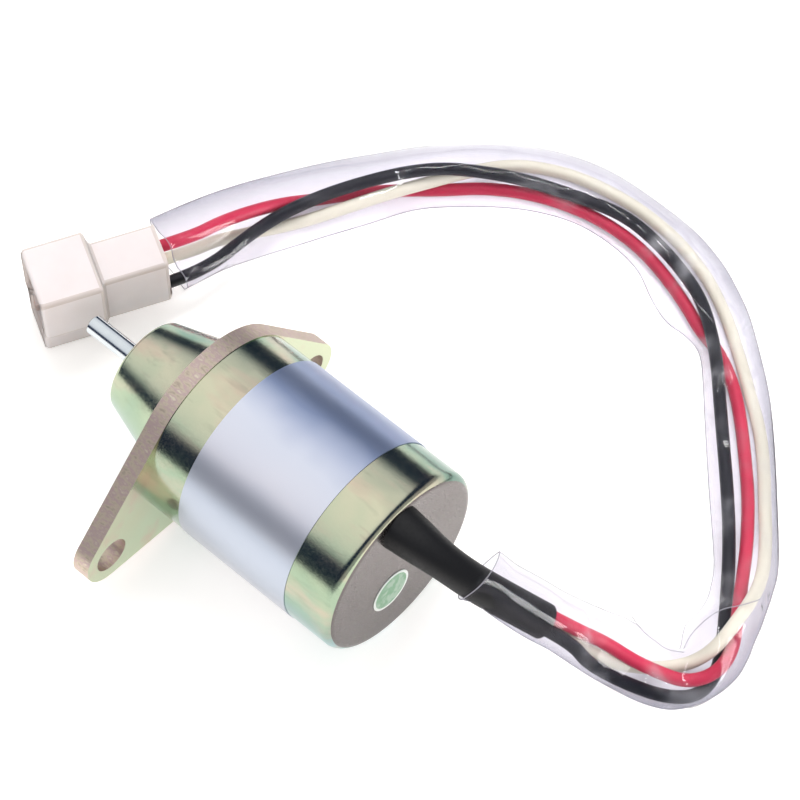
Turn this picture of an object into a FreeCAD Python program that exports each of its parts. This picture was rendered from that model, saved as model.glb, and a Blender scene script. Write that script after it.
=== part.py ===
import FreeCAD, Part
import Sketcher
import math
import os
import re

# Fuel shutoff solenoid: a push pin, a tapered nose, a two-ear flange, a drawn can and a
# three-way connector on a short harness. The plunger runs along X, with the pin towards -X
# and the cable towards +X. The origin is on the plunger axis in the flange's mounting face,
# +Z is up, and the solenoid lies on its side on the plane at the bottom of its flange.

# name, value in millimetres or degrees, what it is
size_table = [
    ("can_radius", 20.0, "outer radius of the drawn can"),
    ("can_wall", 1.5, "sheet thickness of the can"),
    ("can_length", 46.3, "length of the can behind the flange"),
    ("can_corner_radius", 1.9, "outer corner at the closed end"),
    ("can_inner_corner", 0.6, "inner corner at the closed end"),
    ("flange_thickness", 3.8, "plate thickness"),
    ("flange_rim_step", 0.2, "how far the round middle stands past the can"),
    ("near_ear_offset", 30.5, "near bolt hole from the axis, towards -Y"),
    ("far_ear_offset", 24.5, "far bolt hole from the axis, towards +Y"),
    ("ear_drop", 10.5, "bolt holes below the axis"),
    ("ear_radius", 6.3, "round end of an ear"),
    ("bolt_hole_radius", 3.75, "clearance hole for a 7 mm bolt"),
    ("nose_length", 15.9, "taper in front of the flange"),
    ("nose_front_radius", 9.9, "front end of the taper"),
    ("nose_base_radius", 14.8, "taper where it meets the flange"),
    ("nose_edge_radius", 1.2, "rounding of the nose's front edge"),
    ("nose_recess_depth", 2.0, "recess for the bump washer in front of the mounting face"),
    ("nose_relief_radius", 2.6, "bore behind the bush"),
    ("spigot_radius", 12.0, "nose spigot through the front washer"),
    ("seat_clearance", 0.05, "radial clearance of pieces that seat in each other"),
    ("bush_radius", 3.2, "outside of the guide bush"),
    ("bush_length", 8.0, "guide bush in the nose"),
    ("bush_lip", 0.3, "bush end in front of the nose"),
    ("pin_radius", 2.0, "push pin"),
    ("pin_protrusion", 14.2, "pin in front of the nose with the plunger extended"),
    ("pin_tip_chamfer", 0.4, "edge of the pin's tip"),
    ("pin_seat_depth", 6.0, "pin in the armature"),
    ("pin_clearance", 0.05, "radial running clearance of the pin in its bush"),
    ("bump_thickness", 1.0, "rubber bump washer"),
    ("bump_bore_radius", 3.0, "hole of the bump washer"),
    ("rest_gap", 0.1, "armature to bump washer at rest"),
    ("armature_length", 21.0, "plunger core"),
    ("armature_clearance", 0.25, "radial clearance of the armature in its tube"),
    ("armature_edge", 0.6, "chamfer at both ends of the armature"),
    ("armature_recess_depth", 8.0, "spring recess in the armature"),
    ("spring_recess_radius", 4.6, "spring recesses"),
    ("pole_recess_depth", 4.0, "spring recess in the pole piece"),
    ("pole_gap", 7.5, "armature to pole piece with the plunger extended"),
    ("pole_flange_thickness", 3.0, "disc of the pole piece"),
    ("wire_hole_radius", 2.5, "hole for the coil's wires"),
    ("spring_wire_radius", 0.45, "spring wire"),
    ("spring_mean_radius", 3.9, "spring coil, to the middle of the wire"),
    ("spring_turns", 7.0, "turns of the spring"),
    ("spring_seat_gap", 0.05, "spring end to its seat"),
    ("tube_radius", 8.0, "outside of the guide tube"),
    ("tube_wall", 0.4, "guide tube wall"),
    ("front_washer_thickness", 2.5, "steel washer behind the flange"),
    ("bobbin_wall", 1.2, "barrel of the coil former"),
    ("bobbin_cheek_thickness", 1.4, "end cheeks of the coil former"),
    ("bobbin_cheek_clearance", 0.5, "end cheeks inside the can's bore"),
    ("winding_gap", 0.05, "between windings"),
    ("hold_coil_depth", 3.3, "hold winding; the pull winding fills the rest"),
    ("wrap_depth", 0.6, "tape over the windings"),
    ("winding_inset", 0.85, "tape below the edge of the cheeks"),
    ("insulator_thickness", 2.1, "fibre disc behind the coil"),
    ("back_pad_thickness", 2.5, "soft pad between the pole piece and the closed end"),
    ("back_pad_inset", 1.2, "back pad edge inside the can's bore"),
    ("cable_hole_edge", 0.45, "cable hole to the can's bore"),
    ("grommet_wall", 0.45, "rubber grommet in the can's hole"),
    ("grommet_lip_depth", 0.5, "lip outside the can"),
    ("grommet_lip_radius", 4.3, "lip outside the can"),
    ("sheath_radius", 3.5, "black cable sheath"),
    ("lead_radius", 1.3, "one insulated lead"),
    ("sleeve_wall", 0.35, "clear sleeve"),
    ("label_start", 12.4, "label band from the mounting face"),
    ("label_width", 26.8, "label band along the can"),
    ("label_thickness", 0.13, "foil label band"),
    ("label_clearance", 0.02, "glue line under the band and the sticker"),
    ("sticker_radius", 4.75, "round sticker"),
    ("sticker_thickness", 0.12, "round sticker"),
    ("sticker_side", -3.0, "round sticker along Y"),
    ("sticker_height", -5.4, "round sticker along Z"),
    ("connector_angle", 61.7, "connector axis from +X, seen from above"),
    ("connector_front_along", -47.55, "middle of the mating end along X"),
    ("connector_front_across", 0.1, "middle of the mating end along Y"),
    ("housing_length", 26.7, "whole connector"),
    ("shroud_length", 12.9, "wide mating end"),
    ("shroud_half_width", 7.45, "upper part of the mating end"),
    ("shroud_height", 18.2, "mating end"),
    ("shroud_foot_height", 6.5, "narrow lower part of the mating end"),
    ("shroud_foot_half_width", 5.45, "narrow lower part of the mating end"),
    ("shroud_wall", 1.3, "wall round the socket"),
    ("shroud_edge_radius", 0.9, "rounding of the mating end"),
    ("socket_depth", 11.0, "socket for the mating plug"),
    ("block_half_width", 5.25, "rear block"),
    ("block_bottom", 4.1, "rear block above the floor"),
    ("block_top", 16.8, "rear block above the floor"),
    ("latch_width", 5.0, "latch rib on the rear block"),
    ("latch_depth", 1.1, "latch rib on the rear block"),
    ("latch_length", 6.0, "latch rib on the rear block"),
    ("latch_height", 10.5, "middle of the latch rib above the floor"),
    ("cavity_side", 2.8, "cavities to each side of the middle"),
    ("upper_cavity_height", 11.8, "single upper cavity above the floor"),
    ("lower_cavity_height", 7.0, "two lower cavities above the floor"),
    ("cavity_radius", 1.65, "wire cavities"),
    ("barrel_radius", 1.5, "crimped barrel of a terminal"),
    ("barrel_overlap", 1.0, "barrel in the blade"),
    ("blade_width", 6.3, "terminal blade"),
    ("blade_thickness", 0.8, "terminal blade"),
    ("blade_inset", 2.0, "blade tip behind the mating end"),
    ("lead_entry", 2.5, "lead in its cavity"),
]

# The sheath leaves straight, droops and ends in the mouth of the clear sleeve.
sheath_route = [(46.8, 0, 14), (53.4, 0, 14), (59.9, 0.7, 12.3), (65.8, 2.5, 9), (70.9, 5.3, 4.8),
                (77, 9.4, -1.5)]

# The clear sleeve is a lay-flat tube. It starts on the sheath, comes down to the floor, folds round the
# near corner, runs in one wide loop round the far side and tilts up to the connector. Each section has
# its edge on the loop's inside, its edge on the outside, and half its depth.
sleeve_sections = [
    ((64.9, 10.8, 8.6), (66.4, -2, 8.6), 4.7), ((70.6, 13.2, 4), (73.4, 0, 4), 4.8),
    ((75.1, 16, -0.5), (79.1, 2.4, -0.5), 4.8), ((79.5, 20.6, -7.1), (85.2, 7.2, -7.1), 4.4),
    ((84.8, 25.9, -13.6), (95.2, 11.8, -13.6), 4), ((91.4, 27.4, -16), (105.6, 19.2, -16), 4),
    ((94, 28.9, -15.8), (107.4, 29.6, -15.8), 4.3), ((92.2, 33.6, -15.6), (105.4, 40.8, -15.6), 4.5),
    ((87.1, 46.4, -16.5), (98.4, 54.9, -16.5), 3.6), ((77.3, 57.8, -16.8), (87.8, 66.8, -16.8), 3.3),
    ((67.4, 68.5, -16.8), (76.7, 78.7, -16.8), 3.3), ((56, 79, -16.8), (64.6, 89.6, -16.8), 3.3),
    ((44.4, 83.8, -16.7), (50.6, 98, -16.7), 3.4), ((33.2, 87.5, -16.7), (36, 102, -16.7), 3.4),
    ((17.4, 88, -16.7), (16, 102.4, -16.7), 3.4), ((4.6, 82.6, -16.6), (-1.5, 97.4, -16.6), 3.5),
    ((-8.2, 70, -16.5), (-18, 82.6, -16.5), 3.6), ((-17, 54.4, -16.4), (-29.2, 65.4, -15.6), 3.8),
    ((-22, 43.4, -15.6), (-37, 50.6, -13), 4.6), ((-25.4, 33, -15), (-40, 38.4, -8.6), 4.6),
    ((-27, 25, -15.2), (-41.8, 28.6, -7.4), 4.7)]

# The three leads lie side by side in the sleeve: black on the loop's inside, white lowest and
# red on its outside. Each ends in its own cavity of the connector.
black_route = [(76.68, 10.87, -0.92), (80.43, 13.39, -4.79), (87.9, 17.6, -11.9), (93.8, 20.6, -14.7),
               (98.5, 24.1, -16.2), (100, 29.5, -16.3), (97.9, 35.8, -16.3), (92.5, 43.9, -16.3),
               (84.5, 55, -16.3), (74.6, 66.4, -16.3), (63.3, 77, -16.3), (50.7, 86.1, -16.3),
               (36.9, 92.3, -16.3), (22.2, 93.8, -16.3), (8.4, 90.2, -16.3), (-3.7, 82.4, -16.3),
               (-14.1, 71, -16.3), (-22.7, 57.4, -16.3), (-27, 45.4, -15.6), (-27.8, 36.6, -14.2),
               (-29.14, 28.38, -13.2), (-33.6, 20.1, -13.2)]
white_route = [(76.16, 8.83, -2.73), (79.92, 11.36, -6.61), (88.4, 15, -13.2), (94.9, 18.1, -16.2),
               (100.6, 22.5, -17.7), (102.6, 29.6, -17.8), (100.2, 37, -17.8), (94.6, 45.4, -17.8),
               (86.5, 56.6, -17.8), (76.5, 68.2, -17.8), (65, 79, -17.8), (52, 88.4, -17.8),
               (37.6, 94.8, -17.8), (22, 96.4, -17.8), (7.4, 92.6, -17.8), (-5.4, 84.4, -17.8),
               (-16.2, 72.6, -17.8), (-25, 58.6, -17.7), (-30, 47, -17), (-33, 38.2, -15),
               (-34.07, 31.04, -13.2), (-38.53, 22.76, -13.2)]
red_route = [(78.24, 8.55, -0.92), (81.99, 11.07, -4.79), (90.2, 13, -11.9), (96.7, 16.2, -14.7),
             (102.9, 21.3, -16.2), (105.2, 29.7, -16.3), (102.5, 38.2, -16.3), (96.7, 46.9, -16.3),
             (88.5, 58.2, -16.3), (78.4, 70, -16.3), (66.7, 81, -16.3), (53.3, 90.7, -16.3),
             (38.3, 97.3, -16.3), (21.8, 99, -16.3), (6.4, 95, -16.3), (-7.1, 86.4, -16.3),
             (-18.3, 74.2, -16.3), (-27.3, 59.8, -15.9), (-32.2, 46.6, -13.2), (-33.2, 36.6, -10.2),
             (-34.07, 31.04, -8.4), (-38.53, 22.76, -8.4)]

doc = FreeCAD.newDocument("FuelShutoffSolenoid")
sheet = doc.addObject("Spreadsheet::Sheet", "Sizes")
for line, (name, number, note) in enumerate(size_table, start=1):
    sheet.set("A%d" % line, name)
    sheet.set("B%d" % line, str(number))
    sheet.set("C%d" % line, note)
    sheet.setAlias("B%d" % line, name)
doc.recompute()

pieces = []


def value(name):
    return float(sheet.get(name))


def bind(thing, place, text):
    """Tie one property to a formula written with the names of the size table."""
    thing.setExpression(place, re.sub(r"[a-z]+(?:_[a-z]+)+", lambda found: "Sizes." + found.group(0), text))


def new_body(label):
    body = doc.addObject("PartDesign::Body", label)
    body.Label = label
    pieces.append(body)
    return body


def new_sketch(body, name, plane, offset=None):
    """A sketch on one of the body's own planes, or at a distance along its normal."""
    sketch = body.newObject("Sketcher::SketchObject", name)
    base = [f for f in body.Origin.OriginFeatures if f.Role == plane][0]
    sketch.AttachmentSupport = (base, [""])
    sketch.MapMode = "FlatFace"
    if offset:
        bind(sketch, "AttachmentOffset.Base.z", offset)
    return sketch


def hold(sketch, kind, axis, shape, point, text):
    """Hold one coordinate of a sketch point at a formula."""
    if text == "0":
        sketch.addConstraint(Sketcher.Constraint("PointOnObject", shape, point, axis))
        return
    number = sketch.addConstraint(Sketcher.Constraint(kind, -1, 1, shape, point, 1.0))
    bind(sketch, "Constraints[%d]" % number, text)


def place_point(sketch, shape, point, along, up):
    hold(sketch, "DistanceX", -2, shape, point, along)
    hold(sketch, "DistanceY", -1, shape, point, up)


def draw_polygon(sketch, corners):
    """A closed outline of straight sides; every corner is a pair of formulas."""
    count = len(corners)
    turn = [FreeCAD.Vector(math.cos(i * 2 * math.pi / count), math.sin(i * 2 * math.pi / count), 0)
            for i in range(count)]
    first = sketch.GeometryCount
    for i in range(count):
        sketch.addGeometry(Part.LineSegment(turn[i], turn[(i + 1) % count]), False)
    for i in range(count):
        sketch.addConstraint(Sketcher.Constraint("Coincident", first + i, 2, first + (i + 1) % count, 1))
    for i, (along, up) in enumerate(corners):
        place_point(sketch, first + i, 1, along, up)


def draw_circle(sketch, along, up, radius):
    shape = sketch.addGeometry(Part.Circle(FreeCAD.Vector(1, 1, 0), FreeCAD.Vector(0, 0, 1), 1), False)
    place_point(sketch, shape, 3, along, up)
    number = sketch.addConstraint(Sketcher.Constraint("Radius", shape, 1.0))
    bind(sketch, "Constraints[%d]" % number, radius)


def turned(label, corners, up=None, side=None):
    """A turned piece about an axis along X; corners are formulas for the place along X and the radius."""
    body = new_body(label)
    sketch = new_sketch(body, label + "_profile", "XZ_Plane")
    draw_polygon(sketch, corners)
    turning = body.newObject("PartDesign::Revolution", label + "_turning")
    turning.Profile = sketch
    turning.ReferenceAxis = (sketch, ["H_Axis"])
    turning.Angle = 360.0
    if up:
        bind(body, "Placement.Base.z", up)
    if side:
        bind(body, "Placement.Base.y", side)
    doc.recompute()
    return body


def ring(label, start, end, inner, outer, up=None, side=None):
    return turned(label, [(start, inner), (end, inner), (end, outer), (start, outer)], up, side)


def pad(body, name, sketch, length):
    feature = body.newObject("PartDesign::Pad", name)
    feature.Profile = sketch
    bind(feature, "Length", length)
    doc.recompute()
    return feature


def cut_forward(body, name, sketch, length=None):
    """Cut from the sketch towards +X of the body, through everything if no length is given."""
    feature = body.newObject("PartDesign::Pocket", name)
    feature.Profile = sketch
    feature.Reversed = True
    before = body.Shape.Volume
    if length:
        bind(feature, "Length", length)
    else:
        feature.Type = "ThroughAll"
    doc.recompute()
    if body.Shape.Volume >= before:
        raise ValueError(name + " cuts nothing")
    return feature


def round_off(body, name, feature, radius, chosen):
    """Round the edges of a feature that the given test picks."""
    names = ["Edge%d" % (i + 1) for i, edge in enumerate(feature.Shape.Edges) if chosen(edge)]
    fillet = body.newObject("PartDesign::Fillet", name)
    fillet.Base = (feature, names)
    bind(fillet, "Radius", radius)
    doc.recompute()
    return fillet


def circle_at(along, radius):
    """A test for the full circle of this radius at this place along X."""
    def chosen(edge):
        if not isinstance(edge.Curve, Part.Circle):
            return False
        return abs(edge.Curve.Radius - radius) < 0.01 and abs(edge.Curve.Center.x - along) < 0.01
    return chosen


# Places along X, from the mounting face

can_end = "flange_thickness + can_length"
can_floor = "flange_thickness + can_length - can_wall"
washer_end = "flange_thickness + front_washer_thickness"
pole_flange_end = can_floor + " - back_pad_thickness"
pole_flange_start = pole_flange_end + " - pole_flange_thickness"
bobbin_end = pole_flange_start + " - insulator_thickness"
bump_end = "bump_thickness - nose_recess_depth"
armature_start = bump_end + " + rest_gap"
armature_end = armature_start + " + armature_length"
pole_start = armature_end + " + pole_gap"
spring_start = armature_end + " - armature_recess_depth + spring_seat_gap + spring_wire_radius"
spring_end = pole_start + " + pole_recess_depth - spring_seat_gap - spring_wire_radius"

# Radii that follow from others

flange_radius = "can_radius + flange_rim_step"
can_bore = "can_radius - can_wall"
tube_bore = "tube_radius - tube_wall"
barrel_outer = "tube_radius + seat_clearance * 2 + bobbin_wall"
cheek_radius = can_bore + " - bobbin_cheek_clearance"
wrap_outer = cheek_radius + " - winding_inset"
wrap_inner = wrap_outer + " - wrap_depth"
hold_outer = wrap_inner + " - winding_gap"
hold_inner = hold_outer + " - hold_coil_depth"
pull_outer = hold_inner + " - winding_gap"
pull_inner = barrel_outer + " + winding_gap"
grommet_bore = "sheath_radius + seat_clearance"
grommet_radius = grommet_bore + " + grommet_wall"
cable_hole_radius = grommet_radius + " + seat_clearance"
cable_exit_height = can_bore + " - cable_hole_edge - (" + cable_hole_radius + ")"


def make_can():
    body = turned("can", [("flange_thickness", can_bore), (can_floor, can_bore), (can_floor, "0"),
                          (can_end, "0"), (can_end, "can_radius"), ("flange_thickness", "can_radius")])
    end = value("flange_thickness") + value("can_length")
    rim = circle_at(end, value("can_radius"))
    outside = round_off(body, "can_corner", body.Tip, "can_corner_radius", rim)
    inner_rim = circle_at(end - value("can_wall"), value("can_radius") - value("can_wall"))
    round_off(body, "can_inside_corner", outside, "can_inner_corner", inner_rim)
    sketch = new_sketch(body, "cable_hole_outline", "YZ_Plane")
    draw_circle(sketch, "0", cable_exit_height, cable_hole_radius)
    cut_forward(body, "cable_hole", sketch)


def ear_outline(sketch, side, offset):
    """The round end of an ear and its two sides, tangent to it and to the flange's round middle."""
    big = value("can_radius") + value("flange_rim_step")
    small = value("ear_radius")
    middle = FreeCAD.Vector(side * value(offset), -value("ear_drop"), 0)
    bearing = math.atan2(middle.y, middle.x)
    opening = math.acos((big - small) / middle.Length)
    low, high = (bearing - opening, bearing + opening)
    normal = FreeCAD.Vector(0, 0, 1)
    disc = sketch.addGeometry(Part.Circle(FreeCAD.Vector(0, 0, 0), normal, big), True)
    tip = sketch.addGeometry(Part.ArcOfCircle(Part.Circle(middle, normal, small), low, high), False)
    ways = [FreeCAD.Vector(math.cos(angle), math.sin(angle), 0) for angle in (low, high)]
    ends = [sketch.addGeometry(Part.LineSegment(way * big, middle + way * small), False) for way in ways]
    chord = sketch.addGeometry(Part.LineSegment(ways[0] * big, ways[1] * big), False)
    sketch.addConstraint(Sketcher.Constraint("Coincident", disc, 3, -1, 1))
    for point, line in enumerate(ends, start=1):
        sketch.addConstraint(Sketcher.Constraint("Tangent", tip, point, line, 2))
        sketch.addConstraint(Sketcher.Constraint("Tangent", line, 1, disc))
        sketch.addConstraint(Sketcher.Constraint("Coincident", line, 1, chord, point))
    place_point(sketch, tip, 3, ("-" if side < 0 else "") + offset, "-ear_drop")
    for shape, radius in ((disc, flange_radius), (tip, "ear_radius")):
        number = sketch.addConstraint(Sketcher.Constraint("Radius", shape, small))
        bind(sketch, "Constraints[%d]" % number, radius)


def make_flange():
    body = new_body("mounting_flange")
    sketch = new_sketch(body, "flange_middle", "YZ_Plane")
    draw_circle(sketch, "0", "0", flange_radius)
    pad(body, "flange_disc", sketch, "flange_thickness")
    for name, side, offset in (("near_ear", -1, "near_ear_offset"), ("far_ear", 1, "far_ear_offset")):
        sketch = new_sketch(body, name + "_outline", "YZ_Plane")
        ear_outline(sketch, side, offset)
        pad(body, name, sketch, "flange_thickness")
    sketch = new_sketch(body, "flange_holes", "YZ_Plane")
    draw_circle(sketch, "-near_ear_offset", "-ear_drop", "bolt_hole_radius")
    draw_circle(sketch, "far_ear_offset", "-ear_drop", "bolt_hole_radius")
    draw_circle(sketch, "0", "0", "nose_base_radius + seat_clearance")
    cut_forward(body, "flange_cuts", sketch)


def make_nose():
    recess = "tube_radius + seat_clearance"
    body = turned("nose_housing", [
        ("-nose_length", "bush_radius + seat_clearance"), ("-nose_length", "nose_front_radius"),
        ("0", "nose_base_radius"), ("flange_thickness", "nose_base_radius"),
        ("flange_thickness", "spigot_radius"), (washer_end, "spigot_radius"), (washer_end, recess),
        ("-nose_recess_depth", recess), ("-nose_recess_depth", "nose_relief_radius"),
        ("bush_length - nose_length", "nose_relief_radius"),
        ("bush_length - nose_length", "bush_radius + seat_clearance")])
    front = circle_at(-value("nose_length"), value("nose_front_radius"))
    round_off(body, "nose_front_edge", body.Tip, "nose_edge_radius", front)
    ring("nose_bush", "-nose_length - bush_lip", "bush_length - nose_length", "pin_radius + pin_clearance",
         "bush_radius")
    ring("bump_washer", "-nose_recess_depth", bump_end, "bump_bore_radius", "tube_radius")


def make_plunger():
    pin_end = armature_start + " + pin_seat_depth"
    tip = "-nose_length - pin_protrusion"
    turned("plunger_pin", [(tip, "0"), (tip, "pin_radius - pin_tip_chamfer"),
                           (tip + " + pin_tip_chamfer", "pin_radius"), (pin_end, "pin_radius"),
                           (pin_end, "0")])
    outside = "tube_radius - tube_wall - armature_clearance"
    recess = armature_end + " - armature_recess_depth"
    turned("armature", [
        (armature_start, "pin_radius + seat_clearance"), (armature_start, outside + " - armature_edge"),
        (armature_start + " + armature_edge", outside), (armature_end + " - armature_edge", outside),
        (armature_end, outside + " - armature_edge"), (armature_end, "spring_recess_radius"),
        (recess, "spring_recess_radius"), (recess, "0"), (pin_end, "0"),
        (pin_end, "pin_radius + seat_clearance")])


def make_pole():
    plug = tube_bore + " - seat_clearance"
    disc = can_bore + " - seat_clearance"
    recess = pole_start + " + pole_recess_depth"
    body = turned("pole_piece", [
        (pole_start, "spring_recess_radius"), (pole_start, plug), (pole_flange_start, plug),
        (pole_flange_start, disc), (pole_flange_end, disc), (pole_flange_end, "0"), (recess, "0"),
        (recess, "spring_recess_radius")])
    sketch = new_sketch(body, "wire_hole_outline", "YZ_Plane")
    draw_circle(sketch, "0", cable_exit_height, "wire_hole_radius")
    cut_forward(body, "wire_hole", sketch)


def make_spring():
    """Round wire wound between the recess in the armature and the recess in the pole piece."""
    body = new_body("return_spring")
    sketch = new_sketch(body, "spring_wire_section", "XZ_Plane")
    draw_circle(sketch, spring_start, "spring_mean_radius", "spring_wire_radius")
    length = "(" + spring_end + ") - (" + spring_start + ")"
    coil = body.newObject("PartDesign::AdditiveHelix", "spring_coil")
    coil.Profile = sketch
    coil.ReferenceAxis = (sketch, ["H_Axis"])
    coil.Mode = 0
    bind(coil, "Height", length)
    bind(coil, "Pitch", "(" + length + ") / spring_turns")
    doc.recompute()


def make_coil():
    ring("guide_tube", bump_end, pole_flange_start, tube_bore, "tube_radius")
    ring("front_flux_washer", "flange_thickness", washer_end, "spigot_radius + seat_clearance",
         can_bore + " - seat_clearance")
    bore = "tube_radius + seat_clearance * 2"
    front = washer_end + " + bobbin_cheek_thickness"
    rear = bobbin_end + " - bobbin_cheek_thickness"
    turned("bobbin", [
        (washer_end, bore), (bobbin_end, bore), (bobbin_end, cheek_radius),
        (rear, cheek_radius), (rear, barrel_outer), (front, barrel_outer),
        (front, cheek_radius), (washer_end, cheek_radius)])
    start = front + " + winding_gap"
    end = rear + " - winding_gap"
    ring("pull_coil", start, end, pull_inner, pull_outer)
    ring("hold_coil", start, end, hold_inner, hold_outer)
    ring("coil_wrap", start, end, wrap_inner, wrap_outer)
    ring("rear_insulator", bobbin_end, pole_flange_start, "tube_radius + seat_clearance",
         cheek_radius)
    edge = can_bore + " - back_pad_inset"
    pad_body = turned("back_pad", [(pole_flange_end, "0"), (can_floor, "0"), (can_floor, edge),
                                   (pole_flange_end, edge)])
    sketch = new_sketch(pad_body, "sheath_hole_outline", "YZ_Plane")
    draw_circle(sketch, "0", cable_exit_height, grommet_bore)
    cut_forward(pad_body, "sheath_hole", sketch)


def make_outside():
    turned("cable_grommet", [
        (can_floor, grommet_bore), (can_end + " + grommet_lip_depth", grommet_bore),
        (can_end + " + grommet_lip_depth", "grommet_lip_radius"), (can_end, "grommet_lip_radius"),
        (can_end, grommet_radius), (can_floor, grommet_radius)], up=cable_exit_height)
    inner = "can_radius + label_clearance"
    ring("body_label", "label_start", "label_start + label_width", inner, inner + " + label_thickness")
    start = can_end + " + label_clearance"
    end = start + " + sticker_thickness"
    turned("inspection_sticker", [(start, "0"), (end, "0"), (end, "sticker_radius"),
                                  (start, "sticker_radius")], up="sticker_height", side="sticker_side")


def seat_on_connector(body):
    """Give a body the connector's own place: its X runs from the mating end to the leads."""
    body.Placement = FreeCAD.Placement(FreeCAD.Vector(0, 0, 0), FreeCAD.Rotation(FreeCAD.Vector(0, 0, 1), 1))
    bind(body, "Placement.Base.x", "connector_front_along")
    bind(body, "Placement.Base.y", "connector_front_across")
    bind(body, "Placement.Base.z", "-(" + flange_radius + ")")
    bind(body, "Placement.Rotation.Angle", "connector_angle")


def stepped_outline(sketch, half_top, half_foot, bottom, step, top):
    """The mating end's section: a wide upper part on a narrower foot."""
    draw_polygon(sketch, [("-" + half_foot, bottom), (half_foot, bottom), (half_foot, step),
                          (half_top, step), (half_top, top), ("-" + half_top, top),
                          ("-" + half_top, step), ("-" + half_foot, step)])


def make_connector():
    body = new_body("connector_housing")
    seat_on_connector(body)
    sketch = new_sketch(body, "shroud_outline", "YZ_Plane")
    stepped_outline(sketch, "shroud_half_width", "shroud_foot_half_width", "0", "shroud_foot_height",
                    "shroud_height")
    shroud = pad(body, "shroud", sketch, "shroud_length")

    def on_front(edge):
        return all(abs(v.Point.x) < 0.001 for v in edge.Vertexes)

    round_off(body, "shroud_front_edge", shroud, "shroud_edge_radius", on_front)
    sketch = new_sketch(body, "block_outline", "YZ_Plane", "blade_inset")
    draw_polygon(sketch, [("-block_half_width", "block_bottom"), ("block_half_width", "block_bottom"),
                          ("block_half_width", "block_top"), ("-block_half_width", "block_top")])
    pad(body, "rear_block", sketch, "housing_length - blade_inset")
    sketch = new_sketch(body, "latch_outline", "YZ_Plane", "housing_length - latch_length")
    low = "latch_height - latch_width / 2"
    high = "latch_height + latch_width / 2"
    draw_polygon(sketch, [("block_half_width", low), ("block_half_width + latch_depth", low),
                          ("block_half_width + latch_depth", high), ("block_half_width", high)])
    pad(body, "latch_rib", sketch, "latch_length - shroud_wall")
    sketch = new_sketch(body, "socket_outline", "YZ_Plane")
    stepped_outline(sketch, "(shroud_half_width - shroud_wall)", "(shroud_foot_half_width - shroud_wall)",
                    "shroud_wall", "shroud_foot_height + shroud_wall", "shroud_height - shroud_wall")
    cut_forward(body, "socket", sketch, "socket_depth")
    sketch = new_sketch(body, "cavity_outline", "YZ_Plane")
    draw_circle(sketch, "cavity_side", "upper_cavity_height", "cavity_radius")
    draw_circle(sketch, "cavity_side", "lower_cavity_height", "cavity_radius")
    draw_circle(sketch, "-cavity_side", "lower_cavity_height", "cavity_radius")
    cut_forward(body, "wire_cavities", sketch)


def make_terminal(label, side, height, upright):
    """A flat blade in the socket with a crimped barrel behind it; side and height are formulas."""
    body = new_body(label)
    seat_on_connector(body)
    across, high = ("blade_thickness", "blade_width") if upright else ("blade_width", "blade_thickness")
    left = "(" + side + ") - " + across + " / 2"
    right = "(" + side + ") + " + across + " / 2"
    low = height + " - " + high + " / 2"
    top = height + " + " + high + " / 2"
    sketch = new_sketch(body, label + "_blade_outline", "YZ_Plane", "blade_inset")
    draw_polygon(sketch, [(left, low), (right, low), (right, top), (left, top)])
    pad(body, label + "_blade", sketch, "socket_depth - blade_inset")
    sketch = new_sketch(body, label + "_barrel_outline", "YZ_Plane", "socket_depth - barrel_overlap")
    draw_circle(sketch, side, height, "barrel_radius")
    pad(body, label + "_barrel", sketch, "housing_length - lead_entry - socket_depth + barrel_overlap")


def cord_path(label, points):
    """Straight runs joined by tangent arcs, each arc as large as its two runs allow."""
    spots = [FreeCAD.Vector(*point) for point in points]
    edges = []
    radii = []
    last = spots[0]
    for before, corner, after in zip(spots, spots[1:], spots[2:]):
        back = before - corner
        ahead = after - corner
        reach = 0.45 * min(back.Length, ahead.Length)
        back.normalize()
        ahead.normalize()
        half_turn = (math.pi - back.getAngle(ahead)) / 2
        radius = reach / math.tan(half_turn)
        radii.append(radius)
        inward = (back + ahead).normalize()
        start = corner + back * reach
        end = corner + ahead * reach
        middle = corner + inward * (math.hypot(radius, reach) - radius)
        edges.append(Part.LineSegment(last, start).toShape())
        edges.append(Part.Arc(start, middle, end).toShape())
        last = end
    edges.append(Part.LineSegment(last, spots[-1]).toShape())
    wire = Part.Wire(edges)
    print("%s: %.1f mm long, radii %s" % (label, wire.Length, " ".join("%.1f" % r for r in radii)))
    return wire


def make_cord(label, points, radius):
    path = cord_path(label, points)
    start = path.Edges[0]
    way = start.tangentAt(start.FirstParameter)
    spot = start.valueAt(start.FirstParameter)
    cord = doc.addObject("Part::Feature", label)
    cord.Label = label
    cord.Shape = path.makePipe(Part.Face(Part.Wire([Part.makeCircle(radius, spot, way)])))
    pieces.append(cord)
    if abs(cord.Shape.Volume / (math.pi * radius ** 2 * path.Length) - 1) > 0.01:
        raise ValueError(label + " is not its section times its length")


def sleeve_ovals(inset):
    """An oval edge at each section, standing inwards by the inset."""
    middles = []
    for inner, outer, depth in sleeve_sections:
        middles.append((FreeCAD.Vector(*inner) + FreeCAD.Vector(*outer)) / 2)
    ovals = []
    for i, (inner, outer, depth) in enumerate(sleeve_sections):
        side = FreeCAD.Vector(*outer) - FreeCAD.Vector(*inner)
        half_width = side.Length / 2 - inset
        ahead = middles[min(i + 1, len(middles) - 1)] - middles[max(i - 1, 0)]
        up = side.cross(ahead).normalize()
        side.normalize()
        oval = Part.Ellipse(middles[i] + side * half_width, middles[i] + up * (depth - inset), middles[i])
        ovals.append(oval.toShape())
    return ovals


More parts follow.
